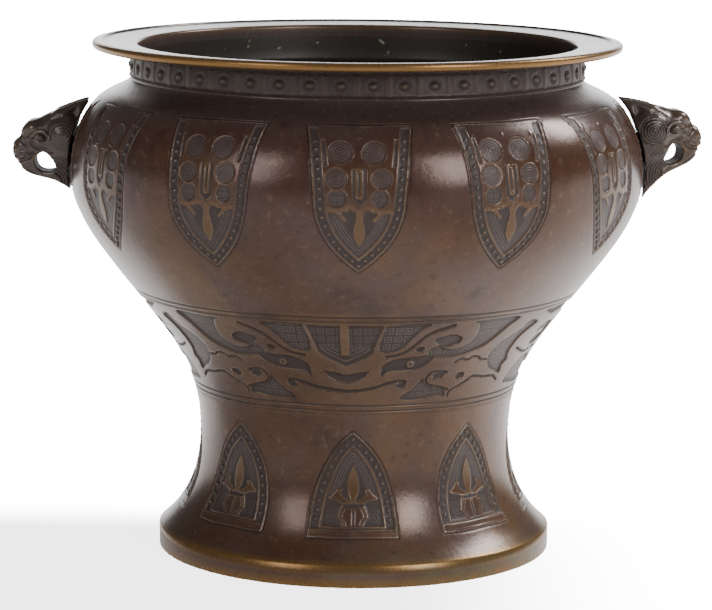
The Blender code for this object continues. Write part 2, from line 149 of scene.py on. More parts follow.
def filled(profile, longest):
    """The same profile with its long stretches cut into pieces no longer than a length."""
    length = np.r_[0, np.cumsum(np.hypot(*np.diff(profile, axis=0).T))]
    place = np.concatenate([np.linspace(a, b, int(np.ceil((b - a) / longest)) + 1)[:-1]
                            for a, b in zip(length, length[1:]) if b > a] + [length[-1:]])
    return np.stack([np.interp(place, length, profile[:, 0]), np.interp(place, length, profile[:, 1])], -1)


def rounded_profile(corners, radii):
    """A profile with some of its corners rounded by a short curve that leaves and meets the
    corner's two sides; a radius of 0 keeps the corner."""
    corners = np.array(corners, dtype=float)
    t = np.linspace(0, 1, 4)[:, None]
    line = []
    for corner, before, after, radius in zip(
            corners, np.roll(corners, 1, 0), np.roll(corners, -1, 0), radii):
        if radius:
            sides = before - corner, after - corner
            a, b = [corner + side * min(0.45, radius / np.hypot(*side)) for side in sides]
            line.extend(a * (1 - t) ** 2 + 2 * corner * t * (1 - t) + b * t * t)
        else:
            line.append(corner)
    return np.array(line)


KEY_CELL, KEY_LINE = 4.6, 1.2


def paint(code):
    """A colour from its six-digit screen code, as light values."""
    shares = [int(code[k:k + 2], 16) / 255 for k in (0, 2, 4)]
    return tuple(s / 12.92 if s <= 0.04045 else ((s + 0.055) / 1.055) ** 2.4 for s in shares) + (1.0,)


class Wire:
    """One socket of a finish. Arithmetic on wires adds the Math nodes that work it out."""

    def __init__(self, finish, socket):
        self.finish, self.socket = finish, socket

    def __add__(self, other):
        return self.finish.sum("ADD", self, other)

    def __sub__(self, other):
        return self.finish.sum("SUBTRACT", self, other)

    def __rsub__(self, other):
        return self.finish.sum("SUBTRACT", other, self)

    def __mul__(self, other):
        return self.finish.sum("MULTIPLY", self, other)

    __radd__, __rmul__ = __add__, __mul__

    def between(self, low, high):
        """0 below low, 1 above high and a smooth step between; falling if low is above high."""
        return self.finish.node("ShaderNodeMapRange", {0: self, 1: low, 2: high, 3: 0.0, 4: 1.0},
                                interpolation_type="SMOOTHSTEP")

    def within(self, low, high, soft=0.12):
        """1 from low to high, with soft ends."""
        return self.between(low - soft, low + soft) - self.between(high - soft, high + soft)


class Finish:
    """A material under construction, with one method for every node in it."""

    def __init__(self, name):
        self.material = bpy.data.materials.new(name)
        self.material.use_nodes = True
        self.tree = self.material.node_tree
        self.shader = self.tree.nodes["Principled BSDF"]

    def node(self, kind, inputs=None, out=0, stops=None, **settings):
        item = self.tree.nodes.new(kind)
        for name, value in settings.items():
            setattr(item, name, value)
        if stops:
            ramp = item.color_ramp.elements
            while len(ramp) < len(stops):
                ramp.new(1.0)
            for element, (place, colour) in zip(ramp, stops):
                element.position, element.color = place, colour
        self.feed(item, inputs or {})
        return Wire(self, item.outputs[out])

    def feed(self, item, inputs):
        for name, value in inputs.items():
            if isinstance(value, Wire):
                self.tree.links.new(value.socket, item.inputs[name])
            else:
                item.inputs[name].default_value = value

    def sum(self, operation, *values):
        return self.node("ShaderNodeMath", dict(enumerate(values)), operation=operation)

    def mixed(self, share, low, high, blend="MIX"):
        return self.node("ShaderNodeMix", {0: share, 6: low, 7: high}, out=2, data_type="RGBA",
                         blend_type=blend)

    def mark(self, name):
        return self.node("ShaderNodeAttribute", out=2, attribute_name=name)

    def fretwork(self, drift):
        """Concentric squares of the fine key pattern, from the marks aside and up, which a drift
        bends: a wave of the larger of the distances from the middle of a square cell."""
        middle = [self.sum("ABSOLUTE", self.sum("FRACT", (self.mark(name) + drift) * (1 / KEY_CELL)) - 0.5)
                  for name in ("aside", "up")]
        wave = self.sum("SINE", self.sum("MAXIMUM", *middle) * (KEY_CELL * 2 * math.pi / KEY_LINE))
        return wave * 0.5 + 0.5

    def noise(self, where, scale, detail=4.0, roughness=0.55, stretch=None):
        if stretch:
            where = self.node("ShaderNodeMapping", {0: where, 3: stretch})
        return self.node("ShaderNodeTexNoise", {0: where, 2: scale, 3: detail, 4: roughness})


def bronze_finish(name, brown, lilac, line_paint, line_rise, redden=1.0, gloss=0.5):
    """Old bronze with a hand-rubbed brown patina. Noise at several sizes shifts the brown to
    lilac grey and ochre, the shoulder is redder and its top is painted greyer as shade under
    the lip, grounds and cut lines hold dark dirt, recesses and the grooves beside raised lines
    are darkened as painted shade and dirt, edges are rubbed light and lightened further as a
    painted highlight, the inside is darkened as painted shade and is greenish with pale spots,
    and the foot has traces of verdigris. Marks: hollow (painted shade and dirt), proud, ochre,
    gilt (worn gold) and inner (painted shade inside); sunk, 3 at the edge of a carved form and
    more in its ground, in mm; rim, 3 at a panel's outline and more inside, in mm; groove, turns
    of fine lines, where grooved; key with its aside and up."""
    finish = Finish(name)
    where = finish.node("ShaderNodeTexCoord", out=3)
    height = finish.node("ShaderNodeSeparateXYZ", {0: where}, out=2)
    broad = finish.noise(where, 9.0, 4.0, 0.6)
    cloud = finish.noise(where, 31.0, 6.0, 0.66)
    streak = finish.noise(where, 17.0, 3.0, 0.55, stretch=(1.0, 1.0, 0.35))
    fleck = finish.noise(where, 230.0, 3.0, 0.6)
    grain = finish.noise(where, 1500.0, 2.0)
    fine = finish.noise(where, 420.0, 4.0, 0.65)
    hollow, proud, gilt, sunk, rim, inner = [
        finish.mark(mark) for mark in ("hollow", "proud", "gilt", "sunk", "rim", "inner")]
    ground = sunk.between(2.9, 3.3)
    # edge and rim_light mark the edges of carved forms and the raised outline, lightened as wear and a
    # painted highlight; rim_dark marks the groove outside it, darkened as painted shade
    edge = sunk.within(2.45, 2.95)
    rim_light, rim_dark = rim.within(3.0, 3.6), rim.within(2.1, 2.85)
    key_line = finish.mark("key") * finish.fretwork(fleck * 1.6).between(0.35, 0.62)
    cut_line = finish.sum("SINE", finish.mark("groove") * (2 * math.pi)) * 0.5 + 0.5
    cut_line = finish.mark("grooved") * cut_line.between(0.30, 0.80)

    red = height.between(0.165, 0.205) * (0.45 + 0.55 * cloud.between(0.35, 0.65)) * redden
    green = height.between(0.020, 0.004) * cloud.between(0.48, 0.62) * redden
    spots = finish.noise(where, 130.0, 2.0, 0.4)
    colour = paint(brown)
    layers = (
        (broad.between(0.38, 0.62), lilac),
        (cloud.between(0.47, 0.70) * 0.55, "6b4d33"),
        (streak.between(0.54, 0.70) * 0.45 * redden, "7a5935"),
        (cloud.between(0.44, 0.28) * 0.7, "3c2e28"),
        (red, "4c3027"),
        # Painted shade: the shoulder's top under the lip is made greyer
        (height.between(0.222, 0.240) * 0.75 * redden, "524744"),
        (fleck.between(0.58, 0.72) * 0.4, "2f2724"),
        (fleck.between(0.42, 0.30) * 0.35, "7b6656"),
        (finish.mark("ochre") * (0.25 + 0.75 * cloud), "73583a"),
        (proud * 0.45, "7d6a5a"),
        (ground * (0.35 + 0.8 * cloud), "37302f"),
        (key_line * (0.4 + 0.8 * cloud), "6a5c56"),
        (cut_line * (0.25 + 0.75 * fine), line_paint),
        # Light edges of carved forms and raised outlines: rubbed wear and a painted highlight
        ((edge + rim_light) * cloud.between(0.34, 0.75) * 0.75, "7d6a58"),
        # Painted shade and dirt: recesses, the grooves beside raised lines, the lining and the heads'
        # creases are darkened
        ((hollow + rim_dark) * 0.55, "241e20"),
        (gilt * (0.5 + 0.8 * cloud), "96703f"),
        # Painted shade inside the vase: the lining is darkened to a deep green, with pale spots on it
        (inner * 0.6, "2a2c24"),
        (inner * spots.between(0.69, 0.74), "8f9482"),
        (green * 0.55, "5f6248"))
    for share, code in layers:
        colour = finish.mixed(share, colour, paint(code))
    colour = finish.mixed(0.2, colour, finish.node("ShaderNodeValToRGB", {0: grain}, stops=(
        (0.30, paint("2a2220")), (0.70, paint("c8bcae")))), "OVERLAY")

    relief = (broad * 0.35 + cloud * 0.25 + fine * 0.12 + grain * 0.02 + key_line * 0.25
              + cut_line * line_rise + (edge + rim_light) * 0.3 - rim_dark * 0.3)
    bump = finish.node("ShaderNodeBump", {"Strength": 0.6, "Distance": 0.0009, "Height": relief})
    finish.feed(finish.shader, {
        "Base Color": colour, "Metallic": 0.28 - ground * 0.15 - hollow * 0.1 + gilt * 0.4,
        "Roughness": 0.14 + cloud * 0.08 + fine * 0.12 + hollow * 0.45 + ground * 0.20 + gilt * 0.05,
        "Normal": bump, "Specular IOR Level": gloss})
    return finish.material


VASE_FINISH = bronze_finish("body_bronze_dressed", "583d2c", "5e4a44", "6b5b57", 0.25)


def on_vase(item):
    """Every ring of the casting rides on the one body and stands for the same solid."""
    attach(item, "root")
    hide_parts("vase_body")
    return item


def lining_at(arc):
    """Radius and height of the inside of the wall, a casting's thickness in from the outside."""
    radius, height, out, up = wall_at(arc)
    return radius - CAST_WALL * out, height - CAST_WALL * up


foot_wall = np.stack(wall_at(np.linspace(FOOT_BAND, FOOT_TOP_ARC, 9))[:2], -1)
inside_radius, inside_height = lining_at(FOOT_TOP_ARC)
foot_under = rounded_profile([(0.0, FLOOR_UNDER), (RECESS_RADIUS, FLOOR_UNDER), (FOOT_INSIDE, 0.0),
                              (FOOT_RADIUS, 0.0), (FOOT_RADIUS, FOOT_BAND)], [0, 2.5, 0.7, FOOT_EDGE, 0])
foot_floor = rounded_profile([(inside_radius, inside_height), (inside_radius - 1.5, FLOOR_TOP),
                              (0.0, FLOOR_TOP)], [0, 1.2, 0])
foot_line = np.concatenate([filled(foot_under, 5.0), foot_wall[1:], filled(foot_floor, 6.0)])
foot_line[0, 0] = foot_line[-1, 0] = 0.0
edge_away = np.hypot(foot_line[:, 0] - FOOT_RADIUS,
                     np.minimum(foot_line[:, 1], abs(foot_line[:, 1] - FOOT_BAND)))
foot_gilt = np.clip(1.2 - edge_away / 2.6, 0, 1) * (foot_line[:, 0] > FOOT_RADIUS - 2.2)
on_vase(lathe("vase_foot", foot_line, PLAIN_COLUMNS, {"gilt": foot_gilt}, VASE_FINISH, False))

# The waist with its eight standing arches: the same casting, carved in the wax before pouring.
# Each arch is a raised line round a sunk band of beads, with a leaf, two wings and a slotted
# stand inside; the grounds are left low and hold fine lines, dark dirt and painted shade beside their
# walls.
ARCH_COUNT, ARCH_TURN, ARCH_BASE_ARC, ARCH_TALL = 8, -0.3, 27.1, 53.6
ARCH_HALF, ARCH_TAPER, WAIST_TOP = 22.8, 0.33, 84.0
BEAD_PITCH, BEAD_RADIUS = 4.8, 0.95
LINING_SHARE = 4
WAIST_ARCS = np.linspace(FOOT_TOP_ARC, arc_at(WAIST_TOP), 98)


def step(value, low, high):
    """0 below low and 1 above high with a smooth rise between."""
    t = np.clip((value - low) / (high - low), 0, 1)
    return t * t * (3 - 2 * t)


def within(value, low, high, soft=0.35):
    """1 where a value lies between low and high, with soft edges."""
    return step(value, low - soft, low + soft) * (1 - step(value, high - soft, high + soft))


def least(*forms):
    return functools.reduce(np.minimum, forms)


def most(*forms):
    return functools.reduce(np.maximum, forms)


def stroke(x, y, line, closed=False):
    """Distance from each point to a chain of straight strokes."""
    best = np.full(np.shape(x), 1e6)
    line = list(line) + ([line[0]] if closed else [])
    for (ax, ay), (bx, by) in zip(line, line[1:]):
        dx, dy = bx - ax, by - ay
        along = np.clip(((x - ax) * dx + (y - ay) * dy) / (dx * dx + dy * dy + 1e-9), 0, 1)
        best = least(best, np.hypot(x - ax - along * dx, y - ay - along * dy))
    return best


def inset(x, y, outline):
    """Distance in from a closed outline, negative outside it."""
    inside = np.zeros(np.shape(x), dtype=bool)
    for (ax, ay), (bx, by) in zip(outline, outline[1:] + outline[:1]):
        crosses = (ay > y) != (by > y)
        inside ^= crosses & (x < (bx - ax) * (y - ay) / (by - ay + 1e-9) + ax)
    away = stroke(x, y, outline, True)
    return np.where(inside, away, -away)


def eased(points, closed=False, count=5):
    """A smooth line through the points: on each stretch a cubic whose lean at a point is half
    the way from the point before it to the point after it."""
    points = [np.array(p, dtype=float) for p in points]
    n = len(points)
    line = []
    for k in range(n if closed else n - 1):
        before = points[k - 1] if closed or k else points[0]
        a, b = points[k], points[(k + 1) % n]
        after = points[(k + 2) % n] if closed or k + 2 < n else points[-1]
        for t in np.arange(count) / count:
            line.append(tuple(0.5 * (2 * a + (b - before) * t + (2 * before - 5 * a + 4 * b - after) * t * t
                                     + (3 * a - before - 3 * b + after) * t ** 3)))
    return line if closed else line + [tuple(points[-1])]


def mirrored(half_line):
    """An outline from its right half, listed from one end on the middle line to the other."""
    return list(half_line) + [(-x, y) for x, y in reversed(half_line)]


def beads_along(x, y, outline, inset_by):
    """Round beads along the inside of an outline: 1 at a bead's middle, falling to 0 at its edge."""
    line = np.array(outline)
    length = np.r_[0, np.cumsum(np.hypot(*np.diff(line, axis=0).T))]
    count = int(length[-1] // BEAD_PITCH)
    best = np.full(np.shape(x), 9.0)
    for k in range(count + 1):
        at = (length[-1] - count * BEAD_PITCH) / 2 + k * BEAD_PITCH
        px, py = np.interp(at, length, line[:, 0]), np.interp(at, length, line[:, 1])
        qx, qy = np.interp(at + 0.5, length, line[:, 0]), np.interp(at + 0.5, length, line[:, 1])
        ux, uy = qx - px, qy - py
        size = max(math.hypot(ux, uy), 1e-6)
        best = least(best, np.hypot(x - px + uy / size * inset_by, y - py - ux / size * inset_by))
    return np.sqrt(np.clip(1 - (best / BEAD_RADIUS) ** 2, 0, 1))


def blurred(grid, reach):
    """Mean over a square of cells, taken twice; the columns wrap round the axis."""
    for _ in range(2):
        grid = sum(np.roll(grid, k, 1) for k in range(-reach, reach + 1)) / (2 * reach + 1)
        edge = np.pad(grid, ((reach, reach), (0, 0)), mode="edge")
        grid = sum(edge[k:k + len(grid)] for k in range(2 * reach + 1)) / (2 * reach + 1)
    return grid


def hand_drift(turn, arc, amount, seed):
    """A slow wander of the carver's hand: a sum of a few waves round and up the wall."""
    random = np.random.default_rng(seed)
    drift = 0
    for _ in range(6):
        round_about, upward = random.integers(3, 26), random.uniform(0.02, 0.12)
        phase = random.uniform(0, 6.3)
        drift = drift + np.sin(np.radians(turn) * round_about + arc * upward + phase)
    return drift * amount / 3


def carved_ring(name, wall, lining, turn, height, marks):
    """A closed ring of the casting: the carved outside on a fine grid, raised along the wall's
    normal, and a plain lining with a quarter of the columns, joined at both ends. The wall is
    given as radius, height and normal of each row, the lining as radius and height of each."""
    columns = len(turn)
    radius, level, out, up = [v[:, None] for v in wall]
    skin = on_circle(radius + height * out, level + height * up, turn)
    few = columns // LINING_SHARE
    lining = on_circle(lining[:, :1], lining[:, 1:], turn[::LINING_SHARE])
    points = np.concatenate([skin.reshape(-1, 3), lining.reshape(-1, 3)])
    start = len(skin) * columns
    faces = [band_faces(len(skin), columns), band_faces(len(lining), few, start)]
    cell = np.arange(few)
    after = (cell + 1) % few
    top, low_lining = start - columns, start + (len(lining) - 1) * few
    for part in range(LINING_SHARE):
        here = cell * LINING_SHARE + part
        there = (here + 1) % columns
        faces.append(np.stack([top + here, top + there, start + cell], -1))
        faces.append(np.stack([low_lining + cell, there, here], -1))
    end = (cell * LINING_SHARE + LINING_SHARE) % columns
    faces.append(np.stack([top + end, start + after, start + cell], -1))
    faces.append(np.stack([low_lining + cell, low_lining + after, end], -1))
    quads, triangles = np.concatenate(faces[:2]), np.concatenate(faces[2:])
    # The lining is painted dark as shade inside the vase, through its hollow and inner marks
    inside = {"hollow": 0.45, "inner": 1.0}
    marks = {mark: np.r_[values.reshape(-1), np.full(len(lining) * few, inside.get(mark, 0.0))]
             for mark, values in dict(marks, inner=0 * height).items()}
    on_vase(add_piece(name, points, [quads, triangles], marks, VASE_FINISH))


def lining_rows(arcs):
    """The lining behind a stretch of wall, from its upper end to its lower."""
    places = np.linspace(arcs[-1], arcs[0], max(3, int((arcs[-1] - arcs[0]) / 5)))
    return np.stack(lining_at(places), -1)


def shade_dirt_and_wear(height, reach):
    """Marks from the carving's height in mm: painted shade and dirt beside walls, and wear on high edges.
    """
    around = blurred(height, reach)
    # hollow: darker beside walls and in recesses, painted shade with some dirt; proud: lighter on high
    # edges from wear
    return {"hollow": np.clip((around - height) * 1.5 - 0.1, 0, 1),
            "proud": np.clip((height - around - 0.08) * 2.2, 0, 1)}


def panel_relief(deep, band, bead, form, bead_rise, ground_deep, slope):
    """Form and height of a panel: its form is cut through by a band that holds beads, its grounds
    are sunk, and a raised line with a fine groove outside it runs round."""
    form = most(least(form, -band), 1.3 * bead - 0.75)
    height = 0.20 * within(deep, 0.1, 0.7, 0.25) - 0.30 * within(deep, -0.8, -0.1, 0.3)
    height += bead_rise * bead - ground_deep * (1 - step(form, -slope, 0.35)) * step(deep, 0.2, 0.8)
    return form, height


def arch(x, y):
    """Height of one standing arch at a distance across and up from its base, in mm, and its marks.
    Its half width falls straight and with the fourth power of the height. The form's measure is
    below nothing in the grounds: a band of beads along the sides, and the field in which a leaf,
    two wings and a stand are left high."""
    q = np.linspace(0, 1, 30)
    half = ARCH_HALF * (1 - ARCH_TAPER * q - (1 - ARCH_TAPER) * q ** 4)
    outline = mirrored([(float(w), float(h)) for w, h in zip(half, q * ARCH_TALL)])
    deep = inset(x, y, outline)
    band = least(deep - 0.9, 5.2 - deep, y - 4.4)
    bead = beads_along(x, y, outline, 3.05) * step(y, 4.5, 5.5)
    leaf = inset(x, y, eased(mirrored([(0.0, 37.2), (1.0, 34.5), (2.5, 30.5), (2.9, 26), (2.4, 22.0),
                                       (1.2, 19.0), (0.5, 18.0)]), True))
    wing = inset(abs(x), y, eased([(-2.0, 18.6), (1.6, 17.2), (5.0, 17.4), (8.6, 18.8), (12.6, 19.9),
                                   (10.0, 22.4), (7.6, 24.9), (5.4, 24.6), (6.4, 22.4), (3.8, 20.2),
                                   (1.6, 18.9)], True))
    stand = inset(abs(x), y, [(-3, 15.2), (4.4, 15.8), (5.6, 17.6), (6.6, 15.0), (7.9, 10.8), (5.8, 8.0),
                              (5.6, 3.0), (-3, 3.0)])
    slots = stroke(x, y, [(0.2, 5.6), (0.2, 13.6)]) - 0.55
    inner = stroke(abs(x), y, eased([(4.6, 14.4), (6.2, 11.0), (4.4, 8.4), (4.3, 5.4)])) - 0.3
    form = most(leaf, wing, least(stand, slots, inner), 6.2 - deep, 4.6 - y)
    form, height = panel_relief(deep, band, bead, form, 0.45, 0.46, 0.35)
    swirl = np.hypot(abs(x) - 10.6, (y - 11.0) * 0.9) + 0.25 * np.arctan2(y - 11.0, abs(x) - 10.6)
    cell = within(abs(x), 7.8, 13.4, 0.5) * within(y, 5.6, 15.6, 0.5)
    lines = step(y, 21, 24) * within(deep, 6.9, 11.8, 0.4)
    return height, {"sunk": 3 - form, "rim": 3 + deep,
                    "ochre": step(leaf, -0.2, 0.5) + 0.3 * step(wing, 0, 0.5),
                    "groove": np.where(cell > 0.5, swirl / 1.55, deep / 1.3),
                    "grooved": most(0.4 * cell, lines) * (form < -0.3)}


def carving_marks(height, extra, reach):
    """All marks of a carved belt, with the two that count in mm kept between plain and deep."""
    marks = shade_dirt_and_wear(height, reach)
    marks.update(extra)
    marks["sunk"] = np.clip(marks["sunk"], 0, 5)
    if "rim" in marks:
        marks["rim"] = np.clip(marks["rim"], 0, 10)
    return marks


def carved_wall(name, arcs, turn, height, marks):
    """A carved ring over a stretch of the wall, with its lining."""
    carved_ring(name, wall_at(arcs), lining_rows(arcs), turn[0], height, marks)


def panel_grid(count, turn_from, half, fine, wide, arcs):
    """Turns round a belt of like panels, with fine columns within a half width of each panel's
    middle and wide ones between, and the distance across from the nearest middle on a grid."""
    one = np.r_[np.linspace(-half, half, fine, endpoint=False),
                np.linspace(half, 360 / count - half, wide, endpoint=False)]
    turn = (turn_from + 360 / count * np.arange(count)[:, None] + one).reshape(-1)
    aside = (turn - turn_from + 180 / count) % (360 / count) - 180 / count
    return turn[None, :], np.radians(aside)[None, :] * wall_at(arcs)[0][:, None]


turn, across = panel_grid(ARCH_COUNT, ARCH_TURN, half=17.6, fine=92, wide=8, arcs=WAIST_ARCS)
rows = WAIST_ARCS[:, None]
across = across + hand_drift(turn, rows, 0.30, 3)
upward = rows - ARCH_BASE_ARC + hand_drift(turn, rows, 0.25, 4)
waist_height, waist_extra = arch(across, upward)
waist_height = waist_height - 0.42 * within(rows, WAIST_ARCS[-1] - 0.9, WAIST_ARCS[-1] + 2, 0.4)
waist_marks = carving_marks(waist_height, waist_extra, 2)
carved_wall("vase_waist_arches", WAIST_ARCS, turn, waist_height, waist_marks)

# The belt of beast masks, between two pairs of cut lines where the wall starts to spread. Each
# mask is one half mirrored at the nose: flat raised horns, brows, snout and tails, light at
# their edges from wear and a painted highlight, over sunk grounds filled with fine key pattern.
# Carved in the wax.
MASK_TURN, MASK_COUNT, MASK_PER_DEGREE = -2.7, 2, 1.75
MASK_FOOT, MASK_COLUMNS, MASK_DEEP, BELT_TOP = 86.5, 1000, 0.75, 139.8
BELT_LINES = (50.9, 48.4, 1.8, -1.0)
MASK_ARCS = np.linspace(arc_at(WAIST_TOP), arc_at(BELT_TOP), 88)
# Sunk grounds and lines of the half mask: mm aside from the nose and up from the belt's foot
FACE = ((0, 46.5), (17, 46.5), (16, 42), (14.5, 35.5), (13.5, 31), (9.5, 28), (0, 23.5))
KEY_GROUND = ((18.5, 46.5), (38, 46.5), (35, 43.5), (31, 38.5), (28, 34.5), (24, 32), (20, 31),
              (17, 32), (16.5, 35.5), (17.5, 42))
EYE = ((47, 29), (43, 29), (35, 28.5), (27, 28), (21.5, 25.5), (19, 22.5), (19, 17.5), (22.5, 20.5),
       (28.5, 21), (36.5, 21.5), (42, 23.5), (45.5, 26.5))
CURL_GROUND = ((86, 46.5), (60.5, 46.5), (63, 45), (65, 40.5), (65, 37), (62, 33.5), (56.5, 31),
               (50, 31.5), (46, 34), (42, 31), (43.5, 28), (51, 27), (60.5, 27), (68.5, 29),
               (74, 31.5), (78, 35.5), (82, 41))
CURL_EYE = ((55.5, 38), (51, 39.5), (46, 38.5), (43, 37), (45.5, 34.5), (49.5, 32.5), (53.5, 33.5),
            (56.5, 34.5), (57, 36.5))
LOW_GROUND = ((58, 9), (54, 10), (47.5, 11), (44, 14), (43, 16), (40, 13), (36.5, 9.5), (32.5, 7),
              (31, 5), (38, 4.5), (47.5, 5), (55, 6), (59.5, 5))
CRESCENT = ((98.5, 42.5), (94, 37), (88, 34), (83.5, 31), (81.5, 26), (83.5, 21), (87.5, 17.5),
            (94, 15), (100, 13), (99, 17.5), (101, 20), (98, 24.5), (98.5, 32), (102, 37), (105.5, 40.5))
CUP = ((0, 18.5), (6.5, 20), (13.5, 20.5), (9.5, 17.5), (5, 15), (0, 14.5))
SIDE_TOP = ((106, 46.5), (158, 46.5), (158, 36), (150, 33), (143, 36), (138, 41), (128, 43.5), (116, 43))
SIDE_LOW = ((110, 6), (113, 14), (120, 19), (130, 20), (138, 16), (146, 12), (158, 12), (158, 4.5),
            (130, 4.5))
SIDE_CURL = ((114, 34), (120, 37.5), (128, 37), (132, 31.5), (128, 26.5), (120, 26), (116.5, 29),
             (120.5, 32), (125, 31), (124, 34), (118, 34.5))
EAR_LINE = ((49.5, 45), (43, 42.5), (38, 39.5), (32.5, 34), (27, 30.5), (20.5, 29))
CLOUD_LINE = ((82, 23), (76.5, 23.5), (74, 25), (70, 25.5), (67, 24), (62, 25), (59, 23.5))
SNOUT_HOOK = ((60.5, 8.5), (54, 10.5), (47.5, 12), (45, 15), (47, 18.5), (52.5, 19), (56.5, 18))
LOW_LINE = ((100, 9.5), (94, 12.5), (86, 13), (77, 14), (73, 12), (68.5, 10), (62, 7.5), (61.5, 5))
MOUTH_LINE = ((28.5, 12), (32, 13), (32.5, 14.5), (30, 15), (24, 14), (16, 11.5), (6.5, 10), (0, 9.5))
SIDE_LINE = ((104, 26), (110, 24), (118, 22.5), (128, 23.5), (138, 22), (147, 25), (158, 26))
FACE_EDGE = ((18, 46.5), (16.5, 40.5), (15, 34.5), (13.5, 29.5), (6.5, 24.5), (0, 22))
LIP_EDGE = ((22.5, 31), (17, 29), (14.5, 25.5), (13.5, 21), (11, 18.5))
CHIN_EDGE = ((12.5, 23), (8, 21), (4.5, 22), (0, 20))


def oval(x, y, middle, wide, tall):
    """Distance-like measure inside an oval, in mm: positive within, 0 at its edge."""
    return (1 - np.hypot((x - middle[0]) / wide, (y - middle[1]) / tall)) * min(wide, tall)


def mask(x, y):
    """Height of the half mask in mm, and its marks. The form is as far from its nearest ground
    or cut line as its mark tells, and less than nothing in them."""
    form = np.full(np.shape(x), 9.0)
    key = np.zeros(np.shape(x))
    face = inset(x, y, list(FACE) + [(-3, 23.5), (-3, 46.5)])
    cup = inset(x, y, list(CUP) + [(-3, 14.5), (-3, 18.5)])
    for outline, keyed, smooth in ((KEY_GROUND, 1.0, True), (EYE, 0.0, True), (CURL_GROUND, 0.8, True),
                                   (CURL_EYE, 0.0, True), (LOW_GROUND, 0.9, True), (CRESCENT, 1.0, True),
                                   (SIDE_TOP, 1.0, False), (SIDE_LOW, 1.0, False), (SIDE_CURL, 0.0, True)):
        deep = inset(x, y, eased(outline, True, 4) if smooth else list(outline))
        form = least(form, -deep)
        key = most(key, keyed * step(deep, 0.5, 1.1))
    form = least(form, -most(face, cup))
    key = most(key, 0.7 * step(face, 0.6, 1.2) * step(y, 31, 34))
    for middle, wide, tall in (((66, 15.5), 3.2, 1.7), ((52, 16.8), 3.4, 1.6), ((37, 32.6), 2.2, 1.4),
                               ((31, 12.6), 2.4, 1.6)):
        form = least(form, -oval(x, y, middle, wide, tall))
    for line, half in ((EAR_LINE, 0.7), (CLOUD_LINE, 0.5), (SNOUT_HOOK, 0.6), (LOW_LINE, 0.6),
                       (MOUTH_LINE, 0.7), (SIDE_LINE, 0.6)):
        form = least(form, stroke(x, y, eased(line)) - half)
    pupil = abs(np.hypot(x - 33.5, y - 24.6) - 1.35)
    edges = least(pupil, *[stroke(x, y, eased(line)) for line in (FACE_EDGE, LIP_EDGE, CHIN_EDGE)])
    nose = least(1.7 - x, y - 29.5)
    form = most(form, 0.65 - edges, nose)
    height = -MASK_DEEP * (1 - step(form, -0.45, 0.35))
    ochre = most(step(nose, 0, 0.4), 0.5 * (1 - step(x, 20, 34)) * step(form, 0, 0.5))
    return height, {"sunk": 3 - form, "key": key * (form < -0.4), "ochre": ochre,
                    "groove": face / 1.9,
                    "grooved": step(face, 1, 1.5) * (1 - step(y, 32, 35)) * (form < -0.3)}


turn = (np.arange(MASK_COLUMNS) * 360 / MASK_COLUMNS)[None, :]
level = wall_at(MASK_ARCS)[1][:, None]
period = 360 / MASK_COUNT
aside = abs((turn - MASK_TURN + period / 2) % period - period / 2) * MASK_PER_DEGREE
belt_up = level - MASK_FOOT
belt_aside = aside + hand_drift(turn, level, 0.5, 11)
belt_height, belt_extra = mask(belt_aside, belt_up + hand_drift(turn, level, 0.4, 12))
for line in BELT_LINES:
    belt_height = least(belt_height, -0.5 * within(belt_up, line - 0.25, line + 0.25, 0.4))
    belt_extra["sunk"] = most(belt_extra["sunk"], 3.45 - abs(belt_up - line))
belt_marks = carving_marks(belt_height, belt_extra, 3)
belt_marks["aside"], belt_marks["up"] = belt_aside, belt_up + 0 * aside
carved_wall("vase_mask_belt", MASK_ARCS, turn, belt_height, belt_marks)

# The plain swelling of the wall between the belt and the shields: bare bronze of the same
# casting, rubbed smooth and left without carving.
PLAIN_TOP = 160.0
PLAIN_ARCS = np.linspace(arc_at(BELT_TOP), arc_at(PLAIN_TOP), 14)
turn = np.linspace(0, 360, PLAIN_COLUMNS, endpoint=False)[None, :]
plain = np.zeros((len(PLAIN_ARCS), PLAIN_COLUMNS))
carved_wall("vase_plain_wall", PLAIN_ARCS, turn, plain, {"hollow": plain})

# The belly and shoulder with twelve hanging shields: outlined by a raised line, a beaded band
# and an inner line, each holds two pairs of discs, a tongue, a moustache line, a hanging leaf
# and fine parallel lines towards its point. Two rings of the casting, as one carved surface.
SHIELD_COUNT, SHIELD_TURN, SHIELD_TOP, SHIELD_TALL = 12, 0.65, 232.7, 76.2
SHIELD_HALF, SHIELD_WAIST, BELLY_TOP = 24.8, 0.87, 234.6
BELLY_ROWS = 128
BELLY_ARCS = np.linspace(arc_at(PLAIN_TOP), arc_at(BELLY_TOP), BELLY_ROWS)
# Each disc: across, down, radius and the pitch of its coil
DISCS = ((-9.0, 14.8, 6.5, 1.3), (6.7, 14.6, 6.4, 1.3), (-11.2, 27.6, 5.6, 1.2), (10.3, 27.3, 5.4, 1.2))


